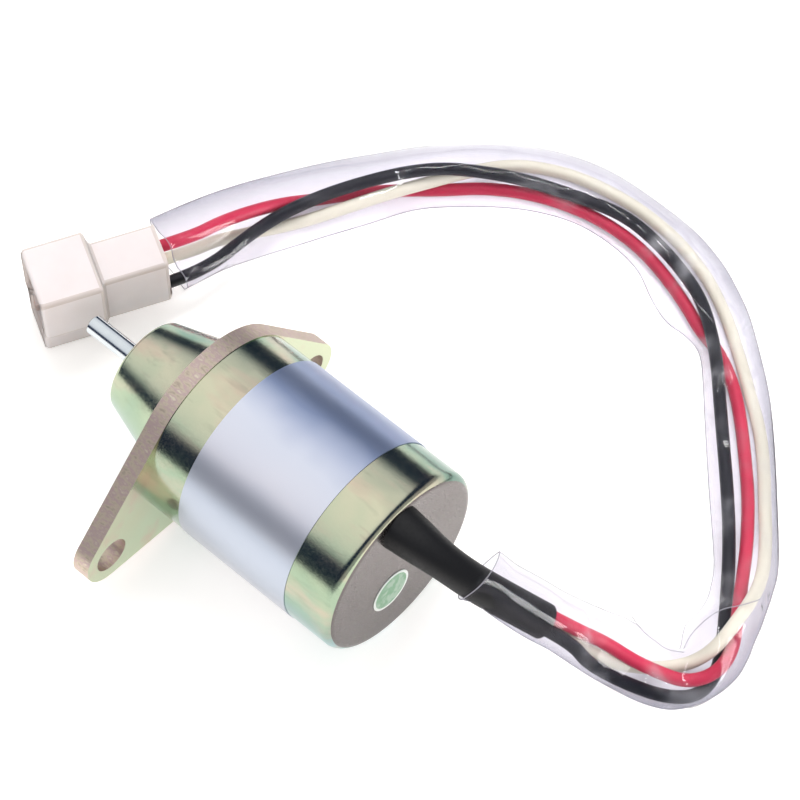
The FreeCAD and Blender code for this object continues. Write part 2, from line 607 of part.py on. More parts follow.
def make_sleeve():
    """An outer and an inner skin, straight from section to section, closed by a rim at both ends."""
    outer = sleeve_ovals(0)
    inner = sleeve_ovals(value("sleeve_wall"))
    faces = []
    for ovals in (outer, inner):
        for near, far in zip(ovals, ovals[1:]):
            faces += Part.makeRuledSurface(near, far).Faces
    for end in (0, -1):
        faces.append(Part.Face([Part.Wire([outer[end]]), Part.Wire([inner[end]])]))
    shell = Part.makeShell(faces)
    shell.sewShape()
    sewing_tolerance = 1e-4
    sleeve = doc.addObject("Part::Feature", "clear_sleeve")
    sleeve.Label = "clear_sleeve"
    skin = Part.makeSolid(shell)
    skin.fix(sewing_tolerance, sewing_tolerance, sewing_tolerance)
    sleeve.Shape = skin
    pieces.append(sleeve)


make_can()
make_flange()
make_nose()
make_plunger()
make_pole()
make_spring()
make_coil()
make_outside()
make_connector()
make_terminal("terminal_black", "-cavity_side", "lower_cavity_height", True)
make_terminal("terminal_red", "cavity_side", "upper_cavity_height", False)
make_terminal("terminal_white", "cavity_side", "lower_cavity_height", True)
make_cord("cable_sheath", sheath_route, value("sheath_radius"))
make_cord("lead_black", black_route, value("lead_radius"))
make_cord("lead_red", red_route, value("lead_radius"))
make_cord("lead_white", white_route, value("lead_radius"))
make_sleeve()
doc.recompute()

for thing in doc.Objects:
    if "Invalid" in thing.State or "Error" in thing.State:
        raise ValueError("%s did not build" % thing.Label)
os.makedirs("parts", exist_ok=True)
for piece in pieces:
    if piece.Shape.isNull() or not piece.Shape.isValid() or not piece.Shape.Solids:
        raise ValueError("%s is not a sound solid" % piece.Label)
    piece.Shape.exportStep("parts/%s.step" % piece.Label)
    print("%s: %.1f cubic mm, %d solid" % (piece.Label, piece.Shape.Volume, len(piece.Shape.Solids)))
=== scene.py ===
import math
import bmesh
import bpy
from mathutils import Matrix, Vector, noise


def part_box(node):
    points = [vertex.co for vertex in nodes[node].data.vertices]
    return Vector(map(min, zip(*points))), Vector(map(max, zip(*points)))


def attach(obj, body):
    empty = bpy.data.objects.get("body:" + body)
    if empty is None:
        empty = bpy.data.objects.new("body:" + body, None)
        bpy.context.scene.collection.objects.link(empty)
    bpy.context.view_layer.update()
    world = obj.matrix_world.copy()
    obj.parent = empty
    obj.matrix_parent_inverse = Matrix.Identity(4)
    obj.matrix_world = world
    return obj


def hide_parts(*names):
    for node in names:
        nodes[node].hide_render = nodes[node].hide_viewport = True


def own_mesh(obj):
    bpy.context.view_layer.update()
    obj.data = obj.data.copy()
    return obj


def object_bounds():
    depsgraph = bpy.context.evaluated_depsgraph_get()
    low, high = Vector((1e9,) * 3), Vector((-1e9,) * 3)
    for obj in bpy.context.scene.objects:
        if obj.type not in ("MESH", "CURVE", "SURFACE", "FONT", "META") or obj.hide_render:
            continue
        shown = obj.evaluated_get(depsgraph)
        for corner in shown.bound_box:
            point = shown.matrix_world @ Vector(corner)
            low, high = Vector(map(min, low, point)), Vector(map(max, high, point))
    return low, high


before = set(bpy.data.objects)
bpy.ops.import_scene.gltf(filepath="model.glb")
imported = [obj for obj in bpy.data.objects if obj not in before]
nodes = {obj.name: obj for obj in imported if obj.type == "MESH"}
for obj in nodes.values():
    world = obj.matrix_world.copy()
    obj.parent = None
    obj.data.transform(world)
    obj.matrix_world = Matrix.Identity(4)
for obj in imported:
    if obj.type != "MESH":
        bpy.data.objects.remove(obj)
lowCorner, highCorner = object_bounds()
print("frame loaded:", len(nodes), "nodes")
mm = 0.001

# The camera fitted to the photograph: its place in mm in the row frame, its turns in radians
cameraLook = {
    "place": (286.2731, -249.4897, 612.3887),
    "yaw": 2.3271849, "pitch": -1.0159727, "roll": -0.0239451,
    "lens": 170.6083, "sensor": 36.0, "clip": (0.05, 20.0),
}


def addObject(name, data):
    made = bpy.data.objects.new(name, data)
    bpy.context.scene.collection.objects.link(made)
    return made


def makeCamera(look):
    yaw, pitch, roll = look["yaw"], look["pitch"], look["roll"]
    forward = Vector((math.cos(pitch) * math.cos(yaw), math.cos(pitch) * math.sin(yaw), math.sin(pitch)))
    right = Vector((math.sin(yaw), -math.cos(yaw), 0))
    up = right.cross(forward)
    sideways = right * math.cos(roll) + up * math.sin(roll)
    upright = up * math.cos(roll) - right * math.sin(roll)
    turn = Matrix((sideways, upright, -forward)).transposed()
    data = bpy.data.cameras.new("photoCamera")
    data.lens = look["lens"]
    data.sensor_width = look["sensor"]
    data.clip_start, data.clip_end = look["clip"]
    camera = addObject("photoCamera", data)
    camera.matrix_world = Matrix.Translation(Vector(look["place"]) * mm) @ turn.to_4x4()
    bpy.context.scene.camera = camera


makeCamera(cameraLook)
bpy.context.scene.view_settings.view_transform = "Standard"

# A Mix of colours has its factor and two colours at these inputs, and what it gives at output mixed
mixFactor, mixFirst, mixSecond, mixed = 0, 6, 7, 2
noiseSpan = {"From Min": 0.3, "From Max": 0.7}  # where nearly all values of a noise lie
plainBumpStrength = 0.6


def linear(hexColour):
    # sRGB hex to linear, by the sRGB curve
    parts = [int(hexColour[i:i + 2], 16) / 255 for i in (1, 3, 5)]
    return [c / 12.92 if c <= 0.04045 else ((c + 0.055) / 1.055) ** 2.4 for c in parts] + [1.0]


def setStops(marks, stops):
    # a ramp starts with two marks: they take the first and the last stop
    marks[0].position, marks[0].color = stops[0][0], linear(stops[0][1])
    marks[1].position, marks[1].color = stops[-1][0], linear(stops[-1][1])
    for position, hexColour in stops[1:-1]:
        marks.new(position).color = linear(hexColour)


def evenStops(hexColours):
    step = 1 / (len(hexColours) - 1)
    return [(i * step, hexColour) for i, hexColour in enumerate(hexColours)]


def addNode(tree, kind, settings=None, links=None):
    # settings hold constants of inputs, stops of a ramp and the node's own properties; a node among the
    # links stands for its first output
    made = tree.nodes.new(kind)
    for name, setting in (settings or {}).items():
        if isinstance(name, int) or name in made.inputs:
            made.inputs[name].default_value = setting
        elif name == "stops":
            setStops(made.color_ramp.elements, setting)
        else:
            setattr(made, name, setting)
    for name, source in (links or {}).items():
        socket = source.outputs[0] if isinstance(source, bpy.types.Node) else source
        tree.links.new(socket, made.inputs[name])
    return made


def newMaterial(name):
    material = bpy.data.materials.new(name)
    material.use_nodes = True
    material.node_tree.nodes.clear()
    return material, material.node_tree


def grain(tree, place, sizeMm, detail=3.0, stretch=(1, 1, 1)):
    # a pattern of a real size in the piece's own place, finer along an axis that is stretched
    wide = addNode(tree, "ShaderNodeMapping", {"Scale": stretch}, {"Vector": place})
    return addNode(tree, "ShaderNodeTexNoise", {"Scale": 1 / (sizeMm * mm), "Detail": detail},
                   {"Vector": wide})


def surface(tree, settings, links, bump=None):
    made = addNode(tree, "ShaderNodeBsdfPrincipled", settings, links)
    if bump:
        height, depthMm, strength = bump
        bumped = addNode(tree, "ShaderNodeBump", {"Distance": depthMm * mm, "Strength": strength},
                         {"Height": height})
        tree.links.new(bumped.outputs["Normal"], made.inputs["Normal"])
    addNode(tree, "ShaderNodeOutputMaterial", links={"Surface": made})


def plainFinish(name, look):
    material, tree = newMaterial(name)
    place = addNode(tree, "ShaderNodeTexCoord").outputs["Object"]
    cloud = grain(tree, place, look["patchMm"])
    fine = grain(tree, place, look["grainMm"], detail=2.0, stretch=look.get("stretch", (1, 1, 1)))
    colour = addNode(tree, "ShaderNodeValToRGB", {"stops": evenStops(look["colours"])}, {"Fac": cloud})
    smoothest, roughest = look["roughness"]
    rough = addNode(tree, "ShaderNodeMapRange", {**noiseSpan, "To Min": smoothest, "To Max": roughest},
                    {"Value": fine})
    surface(tree, {"Metallic": look.get("metallic", 0.0), "IOR": look.get("ior", 1.5)},
            {"Base Color": colour, "Roughness": rough},
            (fine, look["bumpMm"], plainBumpStrength) if look["bumpMm"] else None)
    return material


def dress(material, *names):
    for name in names:
        mesh = nodes[name].data
        mesh.materials.clear()
        mesh.materials.append(material)


# Zinc plate with yellow chromate over drawn steel: mirror-bright. Its colour runs in bands round the can,
# dark teal on the +Y side,
# pale gold over the top and green beyond: partly the chromate's own tints, partly painted shade and painted
# reflection. Its closed end is painted a plain grey
chromateLook = {
    "bands": ["#5f8073", "#6f8f80", "#adb19b", "#c9c7ad", "#b7c2a6", "#9db097", "#93ad9a", "#9bbcbd"],
    "bandsFrom": 20.0, "bandsTo": 205.0,  # degrees round the can, from +Y over the top
    "drift": 0.08, "blush": "#cfb0a2", "blushMm": 11.0, "blushShare": 0.5,
    "streak": "#7d8474", "streakMm": 1.6, "streakStretch": (0.2, 1, 1),
    "streakShare": {"From Min": 0.55, "From Max": 0.8, "To Max": 0.3},
    "speckMm": 0.35, "speckRoughness": {"From Min": 0.35, "From Max": 0.7, "To Min": 0.13, "To Max": 0.24},
    "bumpMm": 0.014, "bumpStrength": 0.5,
    # the closed end is the same plate, painted grey: a painted reflection of the darker room that it mirrors
    "paintedEndGrey": ["#6e6765", "#777170"], "endFaceFrom": 49.9, "endRougher": 0.07,
}
# the blush shows only where a noise peaks, in patches a little finer than the drift of the bands
blushPatches = {"sizeShare": 0.7, "stretch": (0.5, 1.3, 1), "peaks": {"From Min": 0.5, "From Max": 0.68}}


# colours in bands by the angle round the axis, with a small drift and random blush patches; on the can and
# the label the bands are painted shade and painted reflection, darker on the +Y side
def tintAndPaintedShadeRound(tree, place, look):
    parts = addNode(tree, "ShaderNodeSeparateXYZ", links={"Vector": place})
    angle = addNode(tree, "ShaderNodeMath", {"operation": "ARCTAN2"},
                    {0: parts.outputs["Z"], 1: parts.outputs["Y"]})
    # on the underside the angle would jump back by a turn, so it goes on growing there
    underneath = addNode(tree, "ShaderNodeMath", {"operation": "LESS_THAN", 1: -math.pi / 2}, {0: angle})
    angle = addNode(tree, "ShaderNodeMath", {"operation": "MULTIPLY_ADD", 1: 2 * math.pi},
                    {0: underneath, 2: angle})
    degrees = addNode(tree, "ShaderNodeMath", {"operation": "DEGREES"}, {0: angle})
    share = addNode(tree, "ShaderNodeMapRange", {"From Min": look["bandsFrom"], "From Max": look["bandsTo"]},
                    {"Value": degrees})
    drift = addNode(tree, "ShaderNodeMapRange",
                    {**noiseSpan, "To Min": -look["drift"], "To Max": look["drift"]},
                    {"Value": grain(tree, place, look["blushMm"], detail=2.0)})
    share = addNode(tree, "ShaderNodeMath", {"operation": "ADD"}, {0: share, 1: drift})
    film = addNode(tree, "ShaderNodeValToRGB", {"stops": evenStops(look["bands"])}, {"Fac": share})
    patchMm = look["blushMm"] * blushPatches["sizeShare"]
    blush = addNode(tree, "ShaderNodeMapRange", {**blushPatches["peaks"], "To Max": look["blushShare"]},
                    {"Value": grain(tree, place, patchMm, stretch=blushPatches["stretch"])})
    return addNode(tree, "ShaderNodeMix", {"data_type": "RGBA", mixSecond: linear(look["blush"])},
                   {mixFactor: blush, mixFirst: film}).outputs[mixed]


def makeChromate(name, look):
    material, tree = newMaterial(name)
    place = addNode(tree, "ShaderNodeTexCoord").outputs["Object"]
    along = addNode(tree, "ShaderNodeSeparateXYZ", links={"Vector": place}).outputs["X"]
    atEnd = addNode(tree, "ShaderNodeMath", {"operation": "GREATER_THAN", 1: look["endFaceFrom"] * mm},
                    {0: along})
    # the closed end painted grey: painted reflection
    paintedEndReflection = addNode(tree, "ShaderNodeValToRGB", {"stops": evenStops(look["paintedEndGrey"])},
                        {"Fac": grain(tree, place, look["blushMm"])})
    colour = addNode(tree, "ShaderNodeMix", {"data_type": "RGBA"},
                     {mixFactor: atEnd, mixFirst: tintAndPaintedShadeRound(tree, place, look), mixSecond: paintedEndReflection})
    streaked = addNode(tree, "ShaderNodeMapRange", look["streakShare"],
                       {"Value": grain(tree, place, look["streakMm"], stretch=look["streakStretch"])})
    colour = addNode(tree, "ShaderNodeMix", {"data_type": "RGBA", mixSecond: linear(look["streak"])},
                     {mixFactor: streaked, mixFirst: colour.outputs[mixed]})
    speck = grain(tree, place, look["speckMm"], detail=2.0)
    specked = addNode(tree, "ShaderNodeMapRange", look["speckRoughness"], {"Value": speck})
    rough = addNode(tree, "ShaderNodeMath", {"operation": "MULTIPLY_ADD", 1: look["endRougher"]},
                    {0: atEnd, 2: specked})
    onSide = addNode(tree, "ShaderNodeMath", {"operation": "SUBTRACT", 0: 1.0}, {1: atEnd})
    height = addNode(tree, "ShaderNodeMath", {"operation": "MULTIPLY"}, {0: speck, 1: onSide})
    surface(tree, {"Metallic": 1.0}, {"Base Color": colour.outputs[mixed], "Roughness": rough},
            (height, look["bumpMm"], look["bumpStrength"]))
    return material


dress(makeChromate("yellowChromateZinc", chromateLook), "can", "nose_housing")

# The same plate on stamped steel: smooth faces, and a torn, dull pinkish edge all round
flangeLook = {"edge": ["#b9ab9c", "#d3c6b3", "#c9b2b0", "#ded4c1"], "edgeGrainMm": 0.8,
              "edgeStretch": (0.45, 1, 1), "edgeBumpMm": 0.035, "edgeRougher": 0.32,
              # how far a face looks along X, from plain face to torn edge
              "edgeTurn": {"From Min": 0.75, "From Max": 0.35},
              "faces": ["#c9d0b0", "#b9c79f", "#c9c4a6", "#c3cfb2"], "faceRoughness": 0.2}


def makeFlangeFinish(name, look, plate):
    material, tree = newMaterial(name)
    place = addNode(tree, "ShaderNodeTexCoord").outputs["Object"]
    normal = addNode(tree, "ShaderNodeNewGeometry").outputs["True Normal"]
    facing = addNode(tree, "ShaderNodeSeparateXYZ", links={"Vector": normal}).outputs["X"]
    flat = addNode(tree, "ShaderNodeMath", {"operation": "ABSOLUTE"}, {0: facing})
    onEdge = addNode(tree, "ShaderNodeMapRange", look["edgeTurn"], {"Value": flat})
    torn = grain(tree, place, look["edgeGrainMm"], detail=4.0, stretch=look["edgeStretch"])
    tearing = addNode(tree, "ShaderNodeMapRange", noiseSpan, {"Value": torn})
    edge = addNode(tree, "ShaderNodeValToRGB", {"stops": evenStops(look["edge"])}, {"Fac": tearing})
    face = tintAndPaintedShadeRound(tree, place, {**plate, "bands": look["faces"]})
    colour = addNode(tree, "ShaderNodeMix", {"data_type": "RGBA"},
                     {mixFactor: onEdge, mixFirst: face, mixSecond: edge}).outputs[mixed]
    rough = addNode(tree, "ShaderNodeMath", {"operation": "MULTIPLY_ADD", 1: look["edgeRougher"],
                                             2: look["faceRoughness"]}, {0: onEdge})
    height = addNode(tree, "ShaderNodeMath", {"operation": "MULTIPLY"}, {0: torn, 1: onEdge})
    surface(tree, {"Metallic": 1.0}, {"Base Color": colour, "Roughness": rough},
            (height, look["edgeBumpMm"], 1.0))
    return material


dress(makeFlangeFinish("chromateOnStampedSteel", flangeLook, chromateLook), "mounting_flange")

# Ground and bright-plated steel rod: a near mirror with faint turning lines
dress(plainFinish("brightPlatedPin", {"colours": ["#c4ccd2", "#d6dbdd"], "patchMm": 3.0, "grainMm": 0.25,
                                      "stretch": (4, 1, 1), "metallic": 1.0, "roughness": (0.12, 0.24),
                                      "bumpMm": 0.004}), "plunger_pin")

# Aluminium foil label under clear film, blank: soft satin shine. Its blue-grey runs in painted bands round
# the can, darker on the +Y side and paler over the top and beyond: painted reflection and painted shade
foilLook = {
    "bands": ["#97a3bd", "#8593b3", "#8c9aba", "#ced2df", "#dadae3", "#bdc5d3", "#b8bfcb", "#d2d2d8"],
    "bandsFrom": 20.0, "bandsTo": 205.0, "drift": 0.025, "blush": "#c9cfdf", "blushMm": 16.0,
    "blushShare": 0.15, "roughness": 0.34, "metallic": 0.8,
}


def makeFoil(name, look):
    material, tree = newMaterial(name)
    place = addNode(tree, "ShaderNodeTexCoord").outputs["Object"]
    surface(tree, {"Metallic": look["metallic"], "Roughness": look["roughness"]},
            {"Base Color": tintAndPaintedShadeRound(tree, place, look)})
    return material


dress(makeFoil("satinFoilLabel", foilLook), "body_label")

# Each finish of a piece inside and of the small metal parts, with the pieces that wear it
innerFinishes = {
    # machined soft iron: dull grey with turning marks
    "machinedIron": (["armature", "pole_piece", "front_flux_washer"],
                     {"colours": ["#74767a", "#8b8d90"], "patchMm": 4.0, "grainMm": 0.3, "metallic": 1.0,
                      "roughness": (0.35, 0.5), "bumpMm": 0.01, "stretch": (3, 1, 1)}),
    # sintered bronze bush: brown-gold and slightly porous
    "sinteredBronze": (["nose_bush"],
                       {"colours": ["#8a6a3c", "#a5824d"], "patchMm": 2.0, "grainMm": 0.3, "metallic": 1.0,
                        "roughness": (0.4, 0.6), "bumpMm": 0.02}),
    # nitrile rubber: matt black
    "nitrileRubber": (["bump_washer", "back_pad"],
                      {"colours": ["#0d0d0e", "#131314"], "patchMm": 4.0, "grainMm": 0.4,
                       "roughness": (0.8, 0.9), "bumpMm": 0.0, "ior": 1.25}),
    # glass-filled nylon coil former: off-white, slightly fibrous
    "nylonFormer": (["bobbin"],
                    {"colours": ["#d8d2c0", "#e4dfd0"], "patchMm": 5.0, "grainMm": 0.5,
                     "roughness": (0.4, 0.55), "bumpMm": 0.01}),
    # enamelled copper winding: red-brown turns a wire's width apart
    "enamelledCopper": (["pull_coil", "hold_coil"],
                        {"colours": ["#8f4a22", "#a85c2c"], "patchMm": 3.0, "grainMm": 0.5, "metallic": 1.0,
                         "roughness": (0.25, 0.4), "bumpMm": 0.1, "stretch": (6, 0.4, 0.4)}),
    # winding tape: amber polyester film with wrinkles
    "windingTape": (["coil_wrap"],
                    {"colours": ["#b98b3a", "#c99b4a"], "patchMm": 6.0, "grainMm": 0.8,
                     "roughness": (0.25, 0.4), "bumpMm": 0.02}),
    # vulcanised fibre board: dull grey-brown
    "fibreBoard": (["rear_insulator"],
                   {"colours": ["#6d5c4a", "#7d6a55"], "patchMm": 4.0, "grainMm": 0.4,
                    "roughness": (0.6, 0.8), "bumpMm": 0.02}),
    # tin-plated steel and brass: pale, soft metal shine
    "tinPlate": (["guide_tube", "terminal_black", "terminal_red", "terminal_white"],
                 {"colours": ["#b9b8b2", "#cbcac4"], "patchMm": 3.0, "grainMm": 0.4, "metallic": 1.0,
                  "roughness": (0.25, 0.4), "bumpMm": 0.005}),
}
for finishName, (wearers, look) in innerFinishes.items():
    dress(plainFinish(finishName, look), *wearers)

# Return spring, wound by Geometry Nodes from the recess in the armature to the one in the pole piece
springLow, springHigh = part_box("return_spring")
springLook = {"turns": 7.0, "wireMm": 0.45, "meanMm": 3.9, "stepsPerTurn": 36, "wireSides": 14,
              "fixedEnd": 31.6, "stroke": 7.0}  # where the pole piece holds it, and how far it shortens


def namedInputs(tree, inputs):
    for label, (kind, value) in inputs.items():
        socket = tree.interface.new_socket(name=label, in_out="INPUT", socket_type="NodeSocket" + kind)
        if value is not None:
            socket.default_value = value
    tree.interface.new_socket(name="Geometry", in_out="OUTPUT", socket_type="NodeSocketGeometry")
    return addNode(tree, "NodeGroupInput").outputs


def closeTree(tree, made, material):
    # what every piece that Geometry Nodes make ends with
    solid = addNode(tree, "GeometryNodeRealizeInstances", links={"Geometry": made})
    smooth = addNode(tree, "GeometryNodeSetShadeSmooth", links={"Geometry": solid})
    dressed = addNode(tree, "GeometryNodeSetMaterial", {"Material": material}, {"Geometry": smooth})
    addNode(tree, "NodeGroupOutput", links={"Geometry": dressed})
    return tree


def springTree(look, material):
    tree = bpy.data.node_groups.new("woundSpring", "GeometryNodeTree")
    sizes = namedInputs(tree, {"Turns": ("Float", look["turns"]),
                               "Wire Radius": ("Float", look["wireMm"] * mm),
                               "Mean Radius": ("Float", look["meanMm"] * mm),
                               "Start": ("Float", 0.0), "Length": ("Float", 0.0)})
    helix = addNode(tree, "GeometryNodeCurveSpiral", {"Resolution": look["stepsPerTurn"]},
                    {"Rotations": sizes["Turns"], "Start Radius": sizes["Mean Radius"],
                     "End Radius": sizes["Mean Radius"], "Height": sizes["Length"]})
    wire = addNode(tree, "GeometryNodeCurvePrimitiveCircle", {"Resolution": look["wireSides"]},
                   {"Radius": sizes["Wire Radius"]})
    wound = addNode(tree, "GeometryNodeCurveToMesh", {"Fill Caps": True},
                    {"Curve": helix, "Profile Curve": wire})
    end = addNode(tree, "ShaderNodeMath", {"operation": "ADD"}, {0: sizes["Start"], 1: sizes["Length"]})
    shift = addNode(tree, "ShaderNodeCombineXYZ", links={"X": end})
    laid = addNode(tree, "GeometryNodeTransform", {"Rotation": (0, -math.pi / 2, 0)},
                   {"Geometry": wound, "Translation": shift})
    return closeTree(tree, laid, material)


def grown(name, tree, sizes, start=None):
    # a plain mesh of what the tree makes, from nothing or from a starting mesh
    seed = addObject(name + "Seed", start or bpy.data.meshes.new(name + "Seed"))
    grow = seed.modifiers.new("grow", "NODES")
    grow.node_group = tree
    for item in tree.interface.items_tree:
        if item.in_out == "INPUT" and item.name in sizes:
            grow[item.identifier] = sizes[item.name]
    shaped = seed.evaluated_get(bpy.context.evaluated_depsgraph_get())
    made = addObject(name, bpy.data.meshes.new_from_object(shaped))
    seed.modifiers.remove(grow)
    bpy.data.objects.remove(seed)
    return made


# patented spring wire: dark and faintly glossy
springWire = plainFinish("patentedSpringWire", {"colours": ["#4f5254", "#6a6d70"], "patchMm": 3.0,
                                                "grainMm": 0.3, "metallic": 1.0, "roughness": (0.28, 0.4),
                                                "bumpMm": 0.005})
springWireRadius = springLook["wireMm"] * mm
freeLength = springHigh.x - springLow.x
spring = grown("returnSpring", springTree(springLook, springWire),
               {"Start": springLow.x + springWireRadius, "Length": freeLength - 2 * springWireRadius})
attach(spring, "root")
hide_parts("return_spring")
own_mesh(spring)
print("return spring wound")

# Coated paper sticker: a plain green disc with a thin white rim, a little blotched where ink lies thinner
stickerLook = {"centre": (-3.0, -5.4), "green": "#6c9b76", "white": "#dfe4df", "rimFrom": 4.2,
               "inkMm": 1.6, "inkThinness": {"From Min": 0.45, "From Max": 0.6, "To Max": 0.25}, "coat": 0.2,
               "paperMm": 0.5, "roughness": (0.35, 0.5), "bumpMm": 0.01, "bumpStrength": 0.5}


def makeSticker(name, look):
    material, tree = newMaterial(name)
    place = addNode(tree, "ShaderNodeTexCoord").outputs["Object"]
    away = [-c * mm for c in look["centre"]]
    onDisc = addNode(tree, "ShaderNodeMapping", {"Scale": (0, 1, 1), "Location": (0, *away)},
                     {"Vector": place})
    radius = addNode(tree, "ShaderNodeVectorMath", {"operation": "LENGTH"}, {0: onDisc}).outputs["Value"]
    rim = addNode(tree, "ShaderNodeMath", {"operation": "GREATER_THAN", 1: look["rimFrom"] * mm}, {0: radius})
    thinner = addNode(tree, "ShaderNodeMapRange", look["inkThinness"],
                      {"Value": grain(tree, place, look["inkMm"])})
    green, white = linear(look["green"]), linear(look["white"])
    ink = addNode(tree, "ShaderNodeMix", {"data_type": "RGBA", mixFirst: green, mixSecond: white},
                  {mixFactor: thinner}).outputs[mixed]
    colour = addNode(tree, "ShaderNodeMix", {"data_type": "RGBA", mixSecond: white},
                     {mixFactor: rim, mixFirst: ink}).outputs[mixed]
    paper = grain(tree, place, look["paperMm"])
    smoothest, roughest = look["roughness"]
    rough = addNode(tree, "ShaderNodeMapRange", {**noiseSpan, "To Min": smoothest, "To Max": roughest},
                    {"Value": paper})
    surface(tree, {"Coat Weight": look["coat"]}, {"Base Color": colour, "Roughness": rough},
            (paper, look["bumpMm"], look["bumpStrength"]))
    return material


dress(makeSticker("greenPaperSticker", stickerLook), "inspection_sticker")
print("CAD finishes done")

# Cords in mm, their routes along their middles; the sheath swells over the grommet at the can
cableLook = {
    "sheath": {"route": [(46.8, 0, 14), (53.4, 0, 14), (59.9, 0.7, 12.3), (65.8, 2.5, 9), (70.9, 5.3, 4.8),
                         (77, 9.4, -1.5)], "radius": 3.5, "swelling": [1.4, 1.24, 1.0]},
    "leadRadius": 1.3, "stepsAlong": 10, "stepsRound": 10,
}
leadRoutes = {
    "black": [(78.05, 8.18, -1.27), (82.5, 11.2, -5.9), (85.7, 11.7, -9.8), (89.9, 13.9, -13.2),
        (94.7, 16.8, -16.4), (99.1, 19.7, -18.2), (103, 23.6, -18.7), (102.7, 29.8, -18.7),
        (98.9, 36.1, -18.7), (94.5, 42.3, -18.6), (90.2, 48.2, -17.6), (85.2, 54.3, -17),
        (79.7, 60.4, -16.6), (73.2, 67.2, -16.4), (65.8, 74.9, -16.1), (58, 83.1, -15.7),
        (48.3, 90.8, -16), (39.2, 94.2, -16.4), (31, 95.9, -16.4), (23.5, 96.2, -16.2),
        (16.3, 94.4, -16.2), (9.2, 92, -16.2), (2.3, 88.9, -15.6), (-3.9, 84.4, -14.2),
        (-10.2, 79.3, -13.3), (-15.6, 73.2, -13.4), (-20.9, 65.8, -14.4), (-25.5, 58.3, -15.6),
        (-28.1, 50.1, -15.4), (-28.8, 41, -14), (-29.14, 28.38, -13.2), (-33.6, 20.1, -13.2)],
    "red": [(76.87, 10.64, -0.82), (81.2, 13.8, -5.7), (85.2, 17.7, -11.2), (90.3, 19.5, -14.2),
        (95, 21.3, -15.6), (100.2, 23.4, -16.1), (103.1, 27.9, -16.1), (102.9, 33.5, -16),
        (99.3, 39.4, -16.1), (94.7, 46.4, -16.6), (91.1, 52.1, -17.6), (87.2, 57.6, -18.5),
        (82.3, 63.7, -18.7), (76.6, 69.7, -18.7), (70.8, 75.5, -18.7), (64.5, 81, -18.7),
        (57.3, 85.1, -18.7), (51.3, 86.5, -18.7), (45.5, 89.2, -18.7), (36.7, 92.2, -18.7),
        (28.7, 93.8, -18.7), (20.4, 93.7, -18.7), (12.5, 92.1, -18.7), (4.1, 88.8, -18.7),
        (-3.4, 83.8, -18.7), (-9.3, 77.8, -18.7), (-15.3, 72.5, -18.7), (-21.4, 66.2, -18.7),
        (-26.8, 58.9, -18.5), (-30, 53.5, -16.9), (-31.8, 46.5, -13.6), (-33.2, 38.3, -10.2),
        (-34.07, 31.04, -8.4), (-38.53, 22.76, -8.4)],
    "white": [(76.05, 8.77, -2.83), (80.4, 11.8, -7.3), (83.4, 14.9, -12.6), (87.6, 17.4, -16),
        (91.5, 21.2, -18), (95, 24.6, -18.6), (98.2, 28.3, -17.6), (100.2, 32.2, -14.6),
        (100.2, 37.2, -12.6), (99.1, 43.6, -13.6), (96.8, 50, -16.2), (92, 57.2, -18.3), (86, 64.2, -18.7),
        (80.4, 70.8, -18.7), (74.7, 76.5, -18.7), (67.5, 82, -18.7), (60.5, 87.3, -18.7),
        (53.4, 92.3, -18.7), (45, 96.9, -18.7), (34.6, 100, -18.7), (25.1, 100.8, -18.7),
        (17.1, 100.2, -18.7), (9.1, 98.5, -18.7), (2.3, 95.5, -18.7), (-3.3, 91.1, -18.2),
        (-7.6, 83.7, -16.9), (-11.3, 76.3, -16.1), (-15.3, 69.8, -16.4), (-20.5, 61.4, -17.8),
        (-25.4, 52.7, -18.6), (-31, 44, -18.2), (-33.6, 37, -15.6), (-34.07, 31.04, -13.2),
        (-38.53, 22.76, -13.2)],
}


def cordCurve(name, route, radius, material):
    data = bpy.data.curves.new(name, "CURVE")
    data.dimensions = "3D"
    spline = data.splines.new("NURBS")
    spline.points.add(len(route) - 1)
    for point, place in zip(spline.points, route):
        point.co = [c * mm for c in place] + [1.0]
    spline.order_u = 3
    spline.use_endpoint_u = True
    spline.resolution_u = cableLook["stepsAlong"]
    data.bevel_depth = radius * mm
    data.bevel_resolution = cableLook["stepsRound"]
    data.use_fill_caps = True
    data.materials.append(material)
    return addObject(name, data)


# Soft PVC insulation, extruded: even colour, low gloss with slight handling marks
def insulation(name, colours, roughness):
    return plainFinish(name, {"colours": colours, "patchMm": 8.0, "grainMm": 0.6, "roughness": roughness,
                              "bumpMm": 0.01, "ior": 1.45})


sheathPvc = insulation("blackPvcSheath", ["#09090b", "#0e0e11"], (0.45, 0.58))
dress(sheathPvc, "cable_grommet")  # moulded on to the sheath
sheath = cordCurve("cableSheath", cableLook["sheath"]["route"], cableLook["sheath"]["radius"], sheathPvc)
for point, size in zip(sheath.data.splines[0].points, cableLook["sheath"]["swelling"]):
    point.radius = size
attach(sheath, "root")
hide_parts("cable_sheath")
leadColours = {
    "black": insulation("blackPvcInsulation", ["#0b0c12", "#11121a"], (0.35, 0.45)),
    "red": insulation("redPvcInsulation", ["#a91f3a", "#b92c47"], (0.35, 0.45)),
    "white": insulation("creamPvcInsulation", ["#d0cbb6", "#d9d4c0"], (0.35, 0.45)),
}
for colourName, route in leadRoutes.items():
    lead = cordCurve("lead" + colourName.capitalize(), route, cableLook["leadRadius"],
                     leadColours[colourName])
    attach(lead, "root")
    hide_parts("lead_" + colourName)
print("leads done")

